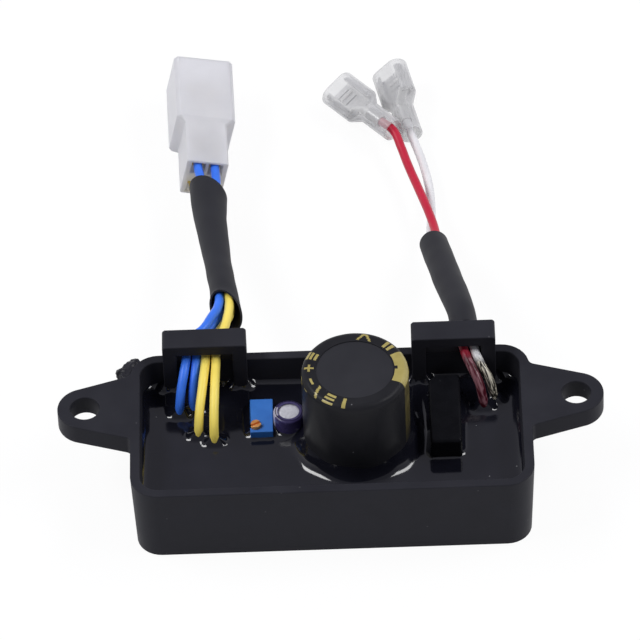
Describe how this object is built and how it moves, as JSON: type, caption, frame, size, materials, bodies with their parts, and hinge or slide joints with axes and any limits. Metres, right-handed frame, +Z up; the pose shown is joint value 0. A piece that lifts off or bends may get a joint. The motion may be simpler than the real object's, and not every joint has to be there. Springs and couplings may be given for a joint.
{
  "type": "automatic voltage regulator",
  "caption": "Potted generator voltage regulator: a circuit cast into a black tray with mounting ears, with sleeved leads to a nylon connector and to covered spade terminals.",
  "frame": {"origin": "middle of the underside of the tray with its arches, on the table", "axes": "+X along the tray from ear to ear, +Y from the front wall to the back wall where the leads leave, +Z up out of the open tray"},
  "size_m": [0.1152, 0.141, 0.0341],
  "materials": {
    "tray_plastic": "moulded, satin black",
    "resin": "cast, glossy black",
    "board": "glass fibre laminate",
    "can_aluminium": "drawn",
    "capacitor_film": "shrunk film",
    "seal_rubber": "matte",
    "tinned_lead": "tinned",
    "moulded_black": "moulded epoxy",
    "trimmer_plastic": "moulded blue",
    "screw_brass": "turned",
    "purple_film": "shrunk film",
    "resistor_lacquer": "lacquered",
    "film_box": "dipped",
    "blue_insulation": "extruded vinyl",
    "yellow_insulation": "extruded vinyl",
    "red_insulation": "extruded vinyl",
    "white_insulation": "extruded vinyl",
    "black_sleeving": "extruded vinyl",
    "nylon": "moulded, milky",
    "contact_brass": "stamped",
    "terminal_tin": "stamped, tinned",
    "clear_vinyl": "clear soft vinyl"
  },
  "bodies": {
    "unit": {"tray": "tray_plastic", "potting_resin": "resin", "resin_spill": "resin", "circuit_board": "board", "capacitor_can": "can_aluminium", "capacitor_sleeve": "capacitor_film", "capacitor_disc": "capacitor_film", "capacitor_seal": "seal_rubber", "capacitor_pins": "tinned_lead", "rectifier_body": "moulded_black", "rectifier_leads": "tinned_lead", "trimmer_body": "trimmer_plastic", "trimmer_pins": "tinned_lead", "small_capacitor_can": "can_aluminium", "small_capacitor_sleeve": "purple_film", "small_capacitor_leads": "tinned_lead", "transistor_body": "moulded_black", "transistor_frame": "tinned_lead", "signal_transistors": "moulded_black", "resistors": "resistor_lacquer", "diodes": "moulded_black", "film_capacitor": "film_box", "wire_blue_left": "blue_insulation", "wire_blue_right": "blue_insulation", "wire_yellow_left": "yellow_insulation", "wire_yellow_right": "yellow_insulation", "wire_red": "red_insulation", "wire_white": "white_insulation", "sleeve_left": "black_sleeving", "sleeve_right": "black_sleeving", "connector_housing": "nylon", "connector_contacts": "contact_brass", "terminal_red": "terminal_tin", "terminal_white": "terminal_tin", "cover_red": "clear_vinyl", "cover_white": "clear_vinyl"},
    "adjusting_screw": {"trimmer_screw": "screw_brass"}
  },
  "joints": [
    {"name": "voltage_adjust", "type": "hinge", "parent": "unit", "child": "adjusting_screw", "pos_m": [-0.01585, 0.00278, 0.0141], "axis": [0, 0, 1], "continuous": true}
  ]
}
